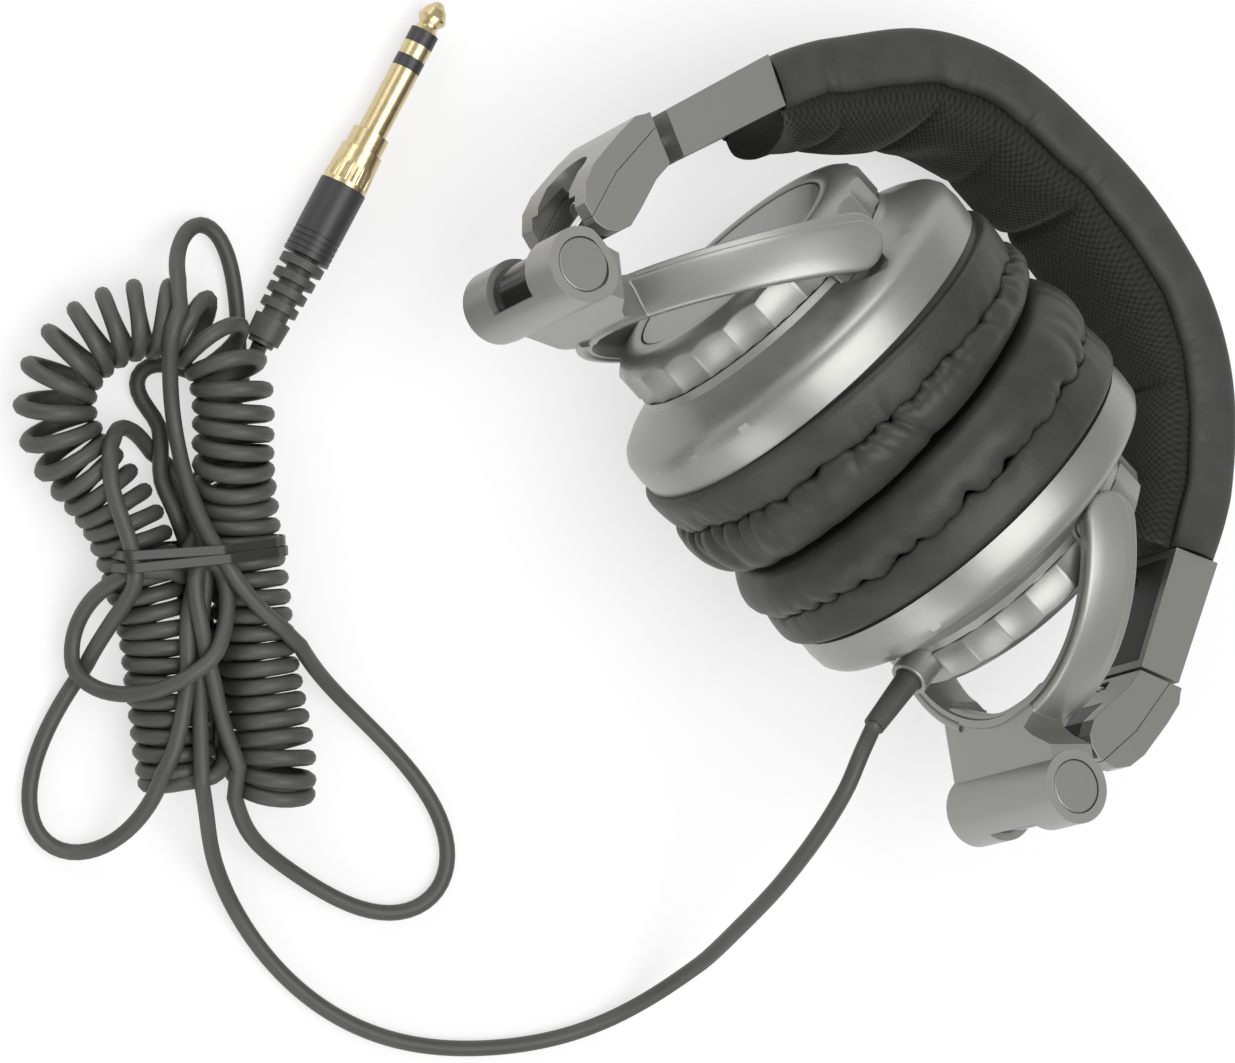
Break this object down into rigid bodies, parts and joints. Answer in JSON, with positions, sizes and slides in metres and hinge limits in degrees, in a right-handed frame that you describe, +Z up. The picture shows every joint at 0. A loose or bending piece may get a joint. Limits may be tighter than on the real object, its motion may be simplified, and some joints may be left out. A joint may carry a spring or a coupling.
{
  "type": "folding headphones",
  "caption": "Closed-back over-ear stereo headphones folded with the cups inside the padded band, with a part-curly cord tied in loops and a large stereo plug.",
  "frame": {"origin": "centre of the bottom of the folded headphones' box, without the cord, on the table that they lie on", "axes": "+X towards the wearer's left side, along the line through both fold hinges; +Y towards the crown of the band, along the table; +Z up from the table"},
  "size_m": [0.224, 0.2769, 0.0905],
  "materials": {
    "silver_shell": "satin metallic paint",
    "silver_yoke": "satin metallic paint",
    "dark_plastic": "fine texture",
    "bright_steel": "brushed",
    "black_gloss": "polished",
    "driver_shell": "plain",
    "ear_leather": "soft synthetic leather with fine grain",
    "thin_cloth": "thin woven cloth",
    "spring_steel": "brushed",
    "band_leather": "synthetic leather with fine grain",
    "band_mesh": "coarse spacer mesh",
    "dark_steel": "blackened",
    "cord_rubber": "satin",
    "tie_plastic": "glossy",
    "plug_plastic": "moulded",
    "gold": "gold plated"
  },
  "bodies": {
    "headband": {"spring_band": "spring_steel", "headband_cover": "band_leather", "headband_pad": "band_mesh", "plate_screws": "dark_steel", "left_end_block": "silver_shell", "left_block_plate": "dark_plastic", "left_slide_guide": "dark_plastic", "right_end_block": "silver_shell", "right_block_plate": "dark_plastic", "right_slide_guide": "dark_plastic"},
    "left_slider": {"left_slide_strip": "bright_steel", "left_knee_outer": "silver_shell", "left_knee_inner": "silver_shell", "left_knee_cover": "dark_plastic"},
    "left_swivel": {"left_swivel_shaft": "bright_steel", "left_knuckle": "black_gloss"},
    "left_fork": {"left_yoke": "silver_yoke", "left_barrel_caps": "silver_shell", "left_fold_pin": "bright_steel", "left_pivot_pins": "bright_steel"},
    "left_cup": {"left_cap": "silver_shell", "left_cap_disc": "silver_shell", "left_cup": "silver_shell", "left_baffle": "dark_plastic", "left_driver": "driver_shell", "left_pad_ring": "dark_plastic", "left_ear_pad": "ear_leather", "left_pad_cloth": "thin_cloth", "cord_gland": "silver_shell", "strain_relief": "cord_rubber", "cord_lead": "cord_rubber", "curly_cord": "cord_rubber", "cord_tail": "cord_rubber", "cord_tie": "tie_plastic", "plug_relief": "cord_rubber", "plug_body": "plug_plastic", "plug_sleeve": "gold", "jack_sleeve": "gold", "jack_insulators": "plug_plastic", "jack_ring": "gold", "jack_tip": "gold"},
    "right_slider": {"right_slide_strip": "bright_steel", "right_knee_outer": "silver_shell", "right_knee_inner": "silver_shell", "right_knee_cover": "dark_plastic"},
    "right_swivel": {"right_swivel_shaft": "bright_steel", "right_knuckle": "black_gloss"},
    "right_fork": {"right_yoke": "silver_yoke", "right_barrel_caps": "silver_shell", "right_fold_pin": "bright_steel", "right_pivot_pins": "bright_steel"},
    "right_cup": {"right_cap": "silver_shell", "right_cap_disc": "silver_shell", "right_cup": "silver_shell", "right_baffle": "dark_plastic", "right_driver": "driver_shell", "right_pad_ring": "dark_plastic", "right_ear_pad": "ear_leather", "right_pad_cloth": "thin_cloth"}
  },
  "joints": [
    {"name": "left_slide", "type": "slide", "parent": "headband", "child": "left_slider", "axis": [0.2857, -0.8978, 0.3352], "range_m": [0, 0.022]},
    {"name": "left_swivel_turn", "type": "hinge", "parent": "left_slider", "child": "left_swivel", "pos_m": [0.0765, -0.051, 0.05791], "axis": [0.0837, 0.9336, -0.3485], "range_deg": [-75, 90], "deforming": ["left_ear_pad", "right_ear_pad"]},
    {"name": "left_fold", "type": "hinge", "parent": "left_swivel", "child": "left_fork", "pos_m": [0.0765, -0.051, 0.05791], "axis": [0, 0.3498, 0.9368], "range_deg": [0, 130]},
    {"name": "left_cup_turn", "type": "hinge", "parent": "left_fork", "child": "left_cup", "pos_m": [0.03902, -0.01589, 0.0448], "axis": [0, 0.3498, 0.9368], "range_deg": [-130, 0]},
    {"name": "right_slide", "type": "slide", "parent": "headband", "child": "right_slider", "axis": [-0.2857, -0.8978, 0.3352], "range_m": [-0.0032, 0.0188]},
    {"name": "right_swivel_turn", "type": "hinge", "parent": "right_slider", "child": "right_swivel", "pos_m": [-0.07641, -0.05387, 0.05898], "axis": [-0.0837, 0.9336, -0.3485], "range_deg": [-90, 75]},
    {"name": "right_fold", "type": "hinge", "parent": "right_swivel", "child": "right_fork", "pos_m": [-0.07641, -0.05387, 0.05898], "axis": [0, -0.3498, -0.9368], "range_deg": [0, 130]},
    {"name": "right_cup_turn", "type": "hinge", "parent": "right_fork", "child": "right_cup", "pos_m": [-0.04027, -0.01756, 0.04542], "axis": [0, -0.3498, -0.9368], "range_deg": [-130, 0]}
  ],
  "couplings": [
    {"joint": "left_cup_turn", "follows": "left_fold", "ratio": -1},
    {"joint": "right_cup_turn", "follows": "right_fold", "ratio": -1}
  ]
}
